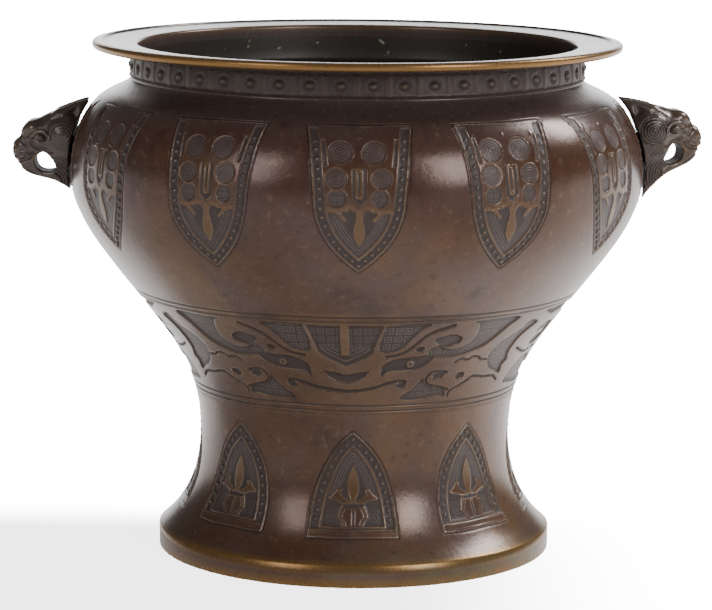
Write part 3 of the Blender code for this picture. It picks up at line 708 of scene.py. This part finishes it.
def shield(x, y):
    """Height of one hanging shield at a distance across and down from its top edge, in mm, and
    its marks. The form's measure is below nothing in the grounds: a band of beads along the
    sides, the discs, the bed of the tongue and the field of the point, whose fine lines follow
    the sides. The discs hold a coil of fine lines."""
    q = np.linspace(0, 1, 34)
    half = SHIELD_HALF * np.where(q < 0.5, 1 - (1 - SHIELD_WAIST) * 2 * q,
                                  SHIELD_WAIST * (1 - (2 * q - 1) ** 2))
    sides = mirrored([(SHIELD_HALF + 0.4, -12.0)]
                     + [(float(w), float(d)) for w, d in zip(half, q * SHIELD_TALL)])
    from_sides = inset(x, y, sides)
    deep = least(from_sides, y)
    band = least(from_sides - 0.9, 4.9 - from_sides, y - 2.0)
    bead = beads_along(x, y, sides, 2.95) * step(y, 8, 9)
    sunk = least(from_sides - 6.0, y - 43.8)
    groove = from_sides / 1.25
    grooved = within(from_sides, 6.7, 11.4, 0.3) * step(y, 44.5, 46)
    rings = np.full(np.shape(x), 9.0)
    for cx, cy, size, pitch in DISCS:
        away, angle = np.hypot(x - cx, y - cy), np.arctan2(y - cy, x - cx)
        coil = away / pitch + angle / (2 * math.pi)
        sunk = most(sunk, least(size - 0.6 - away, 0.17))
        groove = np.where(away < size, coil, groove)
        grooved = most(grooved, 0.7 * step(size - 1.0 - away, 0, 0.3))
        light = step(angle, -1.2, 0.0) if cy < 20 else step(-abs(angle - math.pi * (cx < 0)), -2.4, -1.6)
        rings = least(rings, abs(away - size) + 0.6 * (1 - light))
    comma = most(oval(x, y, (-10.4, 37.2), 4.2, 4.1), oval(x, y, (9.8, 36.8), 3.8, 4.2))
    side = least(from_sides - 6.1, 7.6 - from_sides, y - 8.5, 21.5 - y)
    tongue_bed = inset(x, y, [(-3.4, 23), (3.0, 23), (3.1, 38), (-0.2, 42.0), (-3.5, 38)])
    eyes = 1.9 - np.hypot(abs(x) - 4.3, y - 44.6)
    sunk = most(sunk, comma, side, tongue_bed, eyes)
    tongue = least(1.9 - stroke(x, y, [(-0.2, 24.2), (-0.2, 35.6)]),
                        stroke(x, y, [(-0.2, 24.9), (-0.2, 34.8)]) - 0.55)
    chevron = 0.35 - stroke(x, y, [(-3.4, 37.4), (-0.2, 40.7), (3.0, 37.4)])
    leaf = inset(x, y, eased(mirrored([(0.0, 41.2), (1.9, 43.0), (1.6, 46.7), (2.6, 51.5), (2.6, 55.5),
                                       (1.2, 59), (0.0, 61.5)]), True, 4))
    hook = 1.0 - stroke(abs(x), y, eased([(14.4, 42.8), (10.6, 43.5), (6.8, 42.2), (2.6, 41.2)]))
    barb = 0.9 - stroke(abs(x), y, eased([(10.8, 43.8), (8.8, 45.4), (7.0, 47.4)]))
    form = most(-sunk, tongue, chevron, leaf, hook, barb, 0.5 - rings)
    form, height = panel_relief(deep, band, bead, form, 0.42, 0.44, 0.4)
    for middle in ((-17.2, 7.2), (-0.9, 6.9), (15.8, 7.4)):
        height = most(height, 0.3 * oval(x, y, middle, 1.1, 1.1))
    warm = most(step(leaf, -0.2, 0.45), step(tongue, -0.2, 0.2),
                              step(most(hook, barb), -0.2, 0.4),
                              0.3 * within(y, 20, 44, 2) * step(from_sides, 5.5, 6.5))
    return height, {"sunk": 3 - form, "rim": 3 + deep, "ochre": warm * step(form, -0.2, 0.2),
                    "groove": groove, "grooved": grooved * (form < -0.1),
                    "key": 0.8 * step(comma, 0.4, 0.9)}


turn, across = panel_grid(SHIELD_COUNT, SHIELD_TURN, half=10.8, fine=86, wide=10, arcs=BELLY_ARCS)
rows = BELLY_ARCS[:, None]
across = across + hand_drift(turn, rows, 0.35, 21)
down = arc_at(SHIELD_TOP) - rows + hand_drift(turn, rows, 0.30, 22)
belly_height, belly_extra = shield(across, down)
belly_marks = carving_marks(belly_height, belly_extra, 2)
belly_marks["aside"], belly_marks["up"] = across * 1.4, down * 1.4
middle_row = BELLY_ROWS // 2
for name, part in (("vase_belly_shields", slice(0, middle_row + 1)),
                   ("vase_shoulder_shields", slice(middle_row, None))):
    carved_wall(name, BELLY_ARCS[part], turn, belly_height[part],
                {mark: values[part] for mark, values in belly_marks.items()})

# The shoulder's top and the neck with its row of forty-eight squares, each a ring round a
# rounded stud between upright bars. A thin ridge closes the row below.
SQUARE_COUNT, SQUARE_HEIGHT, NECK_COLUMNS = 48, 249.4, 960
RING_RADIUS, STUD_RADIUS, BAR_ASIDE = 3.7, 1.7, 6.9
NECK_RADIUS, NECK_FOOT, NECK_TOP, MOUTH_RADIUS = 115.3, 243.0, 254.2, 112.0
shoulder_wall = wall_at(np.linspace(arc_at(BELLY_TOP), WALL_ARCS[-1] - 0.4, 12))
neck_levels = np.linspace(NECK_FOOT + 0.1, NECK_TOP, 21)
neck_part = (neck_levels - NECK_FOOT) / (NECK_TOP - NECK_FOOT)
neck_radii = (NECK_RADIUS + 0.9 * np.exp(-((neck_levels - 244.1) / 0.6) ** 2)
              + 0.55 * np.sin(math.pi * neck_part))
neck_wall = [np.r_[a, b] for a, b in zip(shoulder_wall, (
    neck_radii, neck_levels, 1 + 0 * neck_part, 0 * neck_part))]
turn = (np.arange(NECK_COLUMNS) * 360 / NECK_COLUMNS)[None, :]
pitch = 360 / SQUARE_COUNT
square_across = np.radians((turn + hand_drift(turn, 0, 0.12, 31)) % pitch - pitch / 2) * NECK_RADIUS
square_up = neck_wall[1][:, None] - SQUARE_HEIGHT
away = np.hypot(square_across, square_up)
neck_height = (0.38 * (1 - step(abs(away - RING_RADIUS), 0.4, 0.9))
               + 0.9 * np.sqrt(np.clip(1 - (away / STUD_RADIUS) ** 2, 0, 1))
               - 0.35 * step(4.6 - away, 0, 0.6) * step(away - STUD_RADIUS, 0, 0.3)
               + 0.4 * (1 - step(abs(abs(square_across) - BAR_ASIDE), 0.35, 0.75)))
neck_height *= within(square_up, -4.4, 5.2, 0.3)
neck_marks = shade_dirt_and_wear(neck_height, 3)
# Painted shade: the neck above the ridge, under the lip's overhang, is darkened
neck_marks["hollow"] = np.clip(neck_marks["hollow"] + 0.5 * step(square_up, -6, -4.5), 0, 1)
neck_lining = np.concatenate([[(MOUTH_RADIUS, NECK_TOP), (MOUTH_RADIUS, 248.0), (MOUTH_RADIUS, NECK_FOOT)],
                              lining_rows(np.linspace(arc_at(BELLY_TOP), WALL_ARCS[-1], 12))])
carved_ring("vase_neck_squares", neck_wall, neck_lining, turn[0], neck_height, neck_marks)

# The lip: a flat flange with a rounded bead at its rim and a fine step inside the bead, cast with
# the neck. Its edge is worn to a golden brown by handling.
LIP_RADIUS, LIP_TOP, LIP_MIDDLE = 135.0, 262.2, 259.8
lip_corners = [(NECK_RADIUS, NECK_TOP), (118.5, 255.6), (132.6, 257.7), (LIP_RADIUS, 258.5),
               (LIP_RADIUS, LIP_TOP - 0.3), (130.4, LIP_TOP), (129.8, 261.1), (128.0, 261.35),
               (114.2, 260.5), (MOUTH_RADIUS, 260.1), (MOUTH_RADIUS, NECK_TOP)]
lip_line = rounded_profile(lip_corners, [0, 1.5, 0.8, 1.5, 2.2, 0.5, 0.3, 0, 2.0, 1.6, 0])
lip_line = filled(np.r_[lip_line, lip_line[:1]], 2.4)[:-1]
lip_radii, lip_levels = lip_line.T
lip_gilt = np.clip(1.25 - np.hypot(lip_radii - LIP_RADIUS, (lip_levels - LIP_MIDDLE) * 0.6) / 2.4, 0, 1)
lip_gilt += 0.35 * np.clip(1 - abs(lip_radii - MOUTH_RADIUS - 1) / 2, 0, 1) * (lip_levels > 258)
# Painted shade on the mouth's inner wall below the lip
mouth_painted_shade = 0.6 * (lip_radii < MOUTH_RADIUS + 0.3) * (lip_levels < 259)
lip_marks = {"gilt": lip_gilt, "hollow": mouth_painted_shade}
on_vase(lathe("vase_lip", lip_line, PLAIN_COLUMNS, lip_marks, VASE_FINISH, True))

# The two beast heads, cast from one pattern on their own, chased by hand and fixed to the
# shoulder by a short stem, with a dark gap round it. The left one looks straight out; the
# right one is set higher, lifted and turned back. Their noses are worn to a golden brown.
HEAD_FROM_AXIS, HEAD_CELL = 146.2, 0.45
HEAD_GAP, STEM_GAP, STEM_RADIUS = 1.4, 0.3, 8.2
# Side view, in mm out from the belly and up from the handle's middle
HEAD_SIDE = ((-16, -24), (-2.5, -16.2), (2.3, -12.9), (8.2, -10.2), (14.6, -8.8), (20, -7.2), (23.8, -4.8),
             (27.2, -0.4), (28.9, 3.1), (29.2, 6.1), (28.1, 9.2), (25.4, 12.0), (24.4, 15.4),
             (20.6, 18.2), (15.8, 21.0), (10.8, 23.6), (5, 25.6), (0, 26.2), (-4, 23.6), (-16, 14))
JAW_OPENING = ((13.4, 4.1), (17.6, 0.4), (15.8, -4.4), (11.2, -5.9), (7.0, -4.5), (8.4, 0.8))
CHEEK, FUR_FROM, CUT_PITCH = (2.4, 13.1), (8.5, -11.2), 1.5
HEAD_WIDTHS = ((-14, 12.5), (-8, 13.4), (0, 14.6), (6, 14.2), (12, 11.8), (18, 9.2), (24, 7.9), (30, 7.0))
NECK_WIDTHS = ((-14, 10.5), (0, 10.4), (8, 9.0), (14, 7.6), (30, 7.4))
EAR_AT, EAR_TIP, EAR_FLAT = (3.4, 6.6, 18.2), (-9.4, 6.6, 31.4), (0.10, 0.93, -0.20)


def ball(place, middle, radii):
    """Distance-like measure from an ellipsoid's skin, in mm: negative within."""
    return (np.sqrt(sum(((v - m) / r) ** 2 for v, m, r in zip(place, middle, radii))) - 1) * min(radii)


def fused(a, b, soft):
    """Union of two forms: the smaller of their measures, eased where these are close."""
    share = np.clip(0.5 + 0.5 * (b - a) / soft, 0, 1)
    return b * (1 - share) + a * share - soft * share * (1 - share)


def carved_out(a, b, soft):
    """What is left of the first form when the second is cut out of it, with eased edges."""
    return -fused(-a, b, soft)


def leaf_form(place, start, end, flat, radius, thin):
    """A pointed leaf from start to end: its round section shrinks to nothing at the tip and is
    flattened along one direction."""
    axis = np.subtract(end, start)
    length = np.linalg.norm(axis)
    axis = axis / length
    flat = np.array(flat) - axis * np.dot(flat, axis)
    flat = flat / np.linalg.norm(flat)
    apart = [v - s for v, s in zip(place, start)]
    along = np.clip(sum(v * a for v, a in zip(apart, axis)) / length, -0.15, 1)
    aside = [v - along * length * a for v, a in zip(apart, axis)]
    deep = sum(v * f for v, f in zip(aside, flat))
    away = np.sqrt(sum(v * v for v in aside) + (thin * thin - 1) * deep * deep)
    return away - radius * (1 - along) ** 0.85 * (0.75 + 0.25 * step(along, -0.15, 0.2))


def cut_lines(x, z):
    """Turns of the fine cut lines at a point of the side view, and where there are any: a coil on
    the cheek, and arcs about a point under the jaw for the fur of the neck."""
    from_cheek = np.hypot(x - CHEEK[0], z - CHEEK[1])
    coil = from_cheek / CUT_PITCH + np.arctan2(z - CHEEK[1], x - CHEEK[0]) / (2 * math.pi)
    from_jaw = np.hypot(x - FUR_FROM[0], z - FUR_FROM[1])
    on_cheek = 1 - step(from_cheek, 7.0, 7.6)
    on_neck = within(from_jaw, 4.5, 16.5, 0.8) * (1 - step(x, 8.5, 10.0)) * (1 - step(z, 1.5, 3.5))
    on_neck = on_neck * (1 - on_cheek)
    rim = least(-inset(x, z, eased(JAW_OPENING, True)), inset(x, z, eased(HEAD_SIDE, True)))
    return (np.where(on_cheek > 0.01, coil, from_jaw / (CUT_PITCH * 1.05)), on_cheek,
            on_neck * step(rim, 0.6, 1.4))


def side_relief(x, z, coil_deep):
    """Height in mm of what is chased on each side of the head, over its side view."""
    turns, on_cheek, on_neck = cut_lines(x, z)
    relief = -0.45 * (on_cheek * coil_deep + on_neck) * (0.5 + 0.5 * np.sin(2 * math.pi * turns))
    for line, rise, half in ((((9.6, 11.6), (12.6, 14.6), (16.6, 14.4), (20.4, 10.8)), 0.8, 0.7),
                             (((10.8, 11.0), (14.6, 9.4), (19.4, 10.4)), 0.5, 0.5),
                             (((28.6, -0.7), (24.2, 0.0), (20.4, 1.4), (18.4, 3.4)), -1.2, 0.5),
                             (((24.0, 9.4), (21.4, 7.4), (20.4, 4.6), (22.0, 2.2)), -0.7, 0.4),
                             (((25.2, -2.2), (21.6, -4.6), (16.2, -7.1)), -0.6, 0.35),
                             (((28.0, 2.6), (25.0, 2.2), (21.6, 3.8)), -0.7, 0.35),
                             (((27.0, 4.6), (24.4, 4.4), (21.8, 5.8)), -0.6, 0.3),
                             (((19.2, 8.8), (16.4, 6.8), (11.6, 5.4), (8.6, 4.8)), -0.5, 0.4),
                             (((4.0, 22.6), (8.2, 20.8), (11.0, 17.4), (10.6, 14.6)), -0.6, 0.4)):
        relief += rise * (1 - step(stroke(x, z, eased(line)), half, half + 0.7))
    return relief


def head_form(x, y, z, coil_deep):
    """Measure of the whole head, negative within. The side view is given a thickness that varies
    over it, with round edges; brows, nose, cheeks and ears are fused on, sockets, nostrils and
    ear hollows cut out, and the chased relief is added to the sides."""
    x, z = np.broadcast_arrays(x, z)
    inside = inset(x, z, eased(HEAD_SIDE, True))
    opening = inset(x, z, eased(JAW_OPENING, True))
    low = step(-z, -2.0, 5.0)
    head_width, neck_width = [np.interp(x, *np.transpose(widths)) for widths in (HEAD_WIDTHS, NECK_WIDTHS)]
    width = (head_width * (1 - low) + neck_width * low) * (1 - 0.3 * step(z, 15, 27))
    edge = 1.3 + 5.0 * step(z, 0.5, 7.5) * (1 - 0.4 * step(x, 14, 24)) + 1.5 * step(-x, -4, 6) * low
    side = abs(y)
    a, b = edge - least(inside, -opening), side - width + edge
    form = np.hypot(most(a, 0), most(b, 0)) + least(most(a, b), 0) - edge
    place = (x, side, z)
    form = fused(form, ball(place, (2.4, 9.4, 13.1), (8.2, 6.7, 8.2)), 2.0)
    form = carved_out(form, ball(place, (15.2, 12.2, 12.0), (5.2, 4.2, 3.0)), 1.2)
    form = fused(form, ball(place, (17.6, 4.8, 16.0), (5.8, 5.6, 4.4)), 1.8)
    form = fused(form, ball(place, (15.2, 8.2, 12.0), (3.2, 2.6, 1.9)), 0.3)
    form = fused(form, ball((x, y, z), (25.9, 0, 7.2), (3.3, 4.4, 3.3)), 0.9)
    form = fused(form, ball(place, (24.4, 3.4, 2.9), (4.1, 4.2, 3.3)), 0.9)
    form = carved_out(form, ball(place, (26.8, 4.5, 6.2), (1.9, 1.5, 1.0)), 0.5)
    ear = leaf_form(place, EAR_AT, EAR_TIP, EAR_FLAT, 9.0, 1.6)
    hollow_from, hollow_to = np.add(EAR_AT, (-1.5, 4.2, -0.6)), np.add(EAR_TIP, (2.5, 2.6, -1.2))
    ear = carved_out(ear, leaf_form(place, hollow_from, hollow_to, EAR_FLAT, 4.4, 1.2), 0.8)
    form = fused(form, ear, 1.2)
    return form - side_relief(x, z, coil_deep) * step(side, 3.0, 6.0)


def skin_of(form):
    """The closed surface where a measure on a grid is zero. A cell that it crosses gets one point,
    the mean of the crossings on its edges; a grid edge that it crosses gets one face between the
    four cells round it. Points are in cells from the grid's first corner."""
    within_it = form < 0
    size = np.array(form.shape) - 1
    corners = [(a, b, c) for a in (0, 1) for b in (0, 1) for c in (0, 1)]
    count = sum(within_it[a:a + size[0], b:b + size[1], c:c + size[2]].astype(np.int8)
                for a, b, c in corners)
    cell = np.stack(np.nonzero((count > 0) & (count < 8)), -1)
    number = np.full(size, -1)
    number[tuple(cell.T)] = np.arange(len(cell))
    total, hits = np.zeros((len(cell), 3)), np.zeros((len(cell), 1))
    faces = []
    for axis in range(3):
        along = np.eye(3, dtype=int)[axis]
        for low in corners:
            if not low[axis]:
                here, there = form[tuple((cell + low).T)], form[tuple((cell + low + along).T)]
                crossed = (here < 0) != (there < 0)
                share = np.where(crossed, here / np.where(crossed, here - there, 1), 0)
                total += (np.array(low) + share[:, None] * along) * crossed[:, None]
                hits += crossed[:, None]
        first = np.moveaxis(within_it, axis, 0)
        changed = np.moveaxis(first[:-1] != first[1:], 0, axis)
        edge = np.stack(np.nonzero(changed), -1)
        p, q = np.eye(3, dtype=int)[(axis + 1) % 3], np.eye(3, dtype=int)[(axis + 2) % 3]
        ring = np.stack([number[tuple((edge - back).T)] for back in (0 * p, p, p + q, q)], -1)
        leaves = within_it[tuple(edge.T)]
        faces.append(np.where(leaves[:, None], ring, ring[:, ::-1]))
    return cell + total / hits, np.concatenate(faces)


def settled(points, faces):
    """Points moved half of the way to the mean of the middles of the faces round them."""
    corners = faces.reshape(-1)
    middle = np.repeat(points[faces].mean(1), 4, 0)
    total = np.stack([np.bincount(corners, middle[:, k], len(points)) for k in range(3)], -1)
    return points + 0.5 * (total / np.bincount(corners, minlength=len(points))[:, None] - points)


def seen_at(grid, place):
    """Value of a grid at places in cells, from the nearest grid point."""
    return grid[tuple(np.clip(np.rint(place).astype(int), 0, np.array(grid.shape) - 1).T)]


def crowding(within_it, reach):
    """Share of the cells of a box round each grid point that lie within the form."""
    share = within_it.astype(np.float32)
    for axis in range(3):
        margins = [(reach + 1, reach) if k == axis else (0, 0) for k in range(3)]
        total = np.moveaxis(np.cumsum(np.pad(share, margins, mode="edge"), axis), axis, 0)
        share = np.moveaxis((total[2 * reach + 1:] - total[:-2 * reach - 1]) / (2 * reach + 1), 0, axis)
    return share


def posed(place, height, lift, yaw, out):
    """The pattern's place on the vase: lifted about the handle's middle, turned back, moved out
    and up to its height."""
    x, y, z = place
    l, t = math.radians(lift), math.radians(yaw)
    x, z = x * math.cos(l) - z * math.sin(l), x * math.sin(l) + z * math.cos(l)
    along, aside = x * math.cos(t) - y * math.sin(t), x * math.sin(t) + y * math.cos(t)
    return along + HEAD_FROM_AXIS + out, aside, z + height


wall_slopes = np.gradient(WALL_RADII, WALL_HEIGHTS)
HEAD_FINISH = bronze_finish("handle_bronze_dressed", "54463a", "564d50", "262122", -0.7, 0.15, 0.8)
head_corner = np.array((-16.0, -18.0, -27.0))
head_axes = [np.arange(low, high, HEAD_CELL) for low, high in zip(head_corner, (31.5, 18.0, 34.0))]
head_grid = np.ix_(*head_axes)
for name, side, height, lift, yaw, out, coil_deep in (("left_beast_head", -1, 199.7, 0, 0, 0.6, 0.3),
                                                      ("right_beast_head", 1, 204.4, 10, 10, 2.1, 1.0)):
    x, y, z = posed(head_grid, height, lift, yaw, out)
    off_wall = (np.hypot(x, y) - np.interp(z, WALL_HEIGHTS, WALL_RADII)) / np.hypot(
        1, np.interp(z, WALL_HEIGHTS, wall_slopes))
    stem = most(np.hypot(y, z - height - 4) - STEM_RADIUS, x - HEAD_FROM_AXIS - 8)
    form = most(head_form(*head_grid, coil_deep), HEAD_GAP - off_wall)
    form = least(form, most(stem, STEM_GAP - off_wall))
    cells, faces = skin_of(form)
    cells = settled(cells, faces)
    flat = cells * HEAD_CELL + head_corner
    crowd = seen_at(crowding(form < 0, 4), cells)
    x, y, z = flat.T
    turns, on_cheek, on_neck = cut_lines(x, z)
    near_wall = 1 - step(seen_at(off_wall, cells), 1.5, 4.0)
    in_opening = step(inset(x, z, eased(JAW_OPENING, True)), -1.6, -0.4)
    # hollow is painted shade: darker where the form crowds round a point, in creases, near the vase wall
    # and inside the jaw opening; proud is wear on thin high points away from the wall
    marks = {"hollow": np.clip((crowd - 0.50) * 3.6 + near_wall + 0.8 * in_opening, 0, 1),
             "proud": np.clip((0.46 - crowd) * 3.5, 0, 1) * (1 - near_wall),
             "gilt": 0.5 * np.clip((0.48 - crowd) * 4, 0, 1) * step(x, 13, 19) * step(z, -4, 0),
             "groove": turns, "grooved": (on_cheek * coil_deep + on_neck) * step(abs(y), 5, 8)}
    points = np.stack(posed(flat.T, height, lift, yaw, out), -1) * (side, 1, 1)
    head = add_piece(name, points, [faces[:, ::side]], marks, HEAD_FINISH)
    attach(head, "root")
    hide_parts("head_handle_left" if side < 0 else "head_handle_right")

# The table it stands on and the light: a pale sheet that fades into the white room, shown
# most to the vase's left and front where its grey is a painted shadow, soft boxes in front of
# the vase to its left and right, and a room that is bright behind it and to its right and dim
# in front, as in a studio.
sheet_shape = bpy.data.meshes.new("studio_sheet")
sheet_shape.from_pydata([(-3, -3, 0), (3, -3, 0), (3, 3, 0), (-3, 3, 0)], [], [(0, 1, 2, 3)])
sheet_finish = Finish("studio_paper")
sheet_where = sheet_finish.node("ShaderNodeTexCoord", out=3)
sheet_x, sheet_y = [sheet_finish.node("ShaderNodeSeparateXYZ", {0: sheet_where}, out=k) for k in (0, 1)]
paper = sheet_finish.noise(sheet_where, 3.0)
sheet_finish.feed(sheet_finish.shader, {
    "Base Color": sheet_finish.mixed(paper, paint("dcdcdc"), paint("e2e2e2")), "Roughness": 0.9,
    "Emission Color": (1.0, 1.0, 1.0, 1.0), "Emission Strength": 0.25, "Specular IOR Level": 0.0})
left_x, near_y = (sheet_x + 0.13) * (1 / 0.46), (sheet_y + 0.10) * (1 / 0.40)
spread = sheet_finish.sum("SQRT", left_x * left_x + near_y * near_y)
# Painted shadow: the sheet shows grey most to the vase's left and front and turns clear elsewhere, where
# the white room shows through
painted_shadow_cover = (spread.between(1.0, 0.35) * sheet_y.between(0.10, 0.02) * sheet_x.between(0.22, 0.02)) * 0.8
clear = sheet_finish.node("ShaderNodeBsdfTransparent")
sheet_mix = sheet_finish.node("ShaderNodeMixShader", {0: painted_shadow_cover, 1: clear, 2: Wire(
    sheet_finish, sheet_finish.shader.outputs[0])})
sheet_finish.feed(sheet_finish.tree.nodes["Material Output"], {"Surface": sheet_mix})
sheet_shape.materials.append(sheet_finish.material)
sheet = bpy.data.objects.new("studio_sheet", sheet_shape)
bpy.context.scene.collection.objects.link(sheet)


def soft_box(name, azimuth, elevation, distance, width, tall, watts):
    """A square light aimed at the belly, placed by its azimuth from the front towards +X."""
    light = bpy.data.lights.new(name, "AREA")
    light.shape, light.size, light.size_y, light.energy = "RECTANGLE", width, tall, watts
    item = bpy.data.objects.new(name, light)
    a, e = math.radians(azimuth), math.radians(elevation)
    place = np.array([math.sin(a) * math.cos(e), -math.cos(a) * math.cos(e), math.sin(e)]) * distance
    item.location = place + np.array([0, 0, 0.16])
    item.rotation_euler = (math.pi / 2 - e, 0, a)
    bpy.context.scene.collection.objects.link(item)


soft_box("left_box", -41, 24, 1.6, 0.50, 0.75, 5.0)
soft_box("right_box", 41, 24, 1.6, 0.50, 0.75, 11)
soft_box("right_rim", 111, 40, 1.6, 0.45, 0.55, 16)

ROOM_DARK, TABLE_NEAR, TABLE_FAR, BACKDROP, ROOM_SEEN = 0.13, 0.75, 1.5, 4.0, 18.0
room = bpy.data.worlds.new("pale_room")
room.use_nodes = True
bpy.context.scene.world = room


class Sky(Finish):
    """The room's light under construction, with the same method for every node in it."""

    def __init__(self, world):
        self.tree = world.node_tree
        self.shader = self.tree.nodes["Background"]


sky = Sky(room)
way = sky.node("ShaderNodeTexCoord")
way_x, way_y, way_z = [sky.node("ShaderNodeSeparateXYZ", {0: way}, out=k) for k in (0, 1, 2)]
behind = (way_y + way_x * 0.35).between(-0.5, 1.0)
low_down = way_z.between(0.05, -0.03)
backdrop = way_y.between(0.90, 0.99) * BACKDROP
lit = low_down * (behind * TABLE_FAR + TABLE_NEAR) + (1.0 - low_down) * backdrop + ROOM_DARK
seen = sky.node("ShaderNodeLightPath")
sky.feed(sky.shader, {"Color": (1.0, 1.0, 1.0, 1.0), "Strength": lit * (1.0 - seen) + seen * ROOM_SEEN})

# The camera stands where the photographer's did: a little above the lip, with a long lens and
# very slightly rolled. Its numbers come from fitting the outlines of the lip, belly and foot.
camera_data = bpy.data.cameras.new("camera")
camera_data.lens, camera_data.sensor_width, camera_data.clip_end = 163.46, 36.0, 50.0
camera = bpy.data.objects.new("camera", camera_data)
camera.location = (0.0011, -1.648, 0.402)
camera.rotation_euler = (math.pi / 2 - 0.1667, -0.0085, 0.0019)
bpy.context.scene.collection.objects.link(camera)
bpy.context.scene.camera = camera
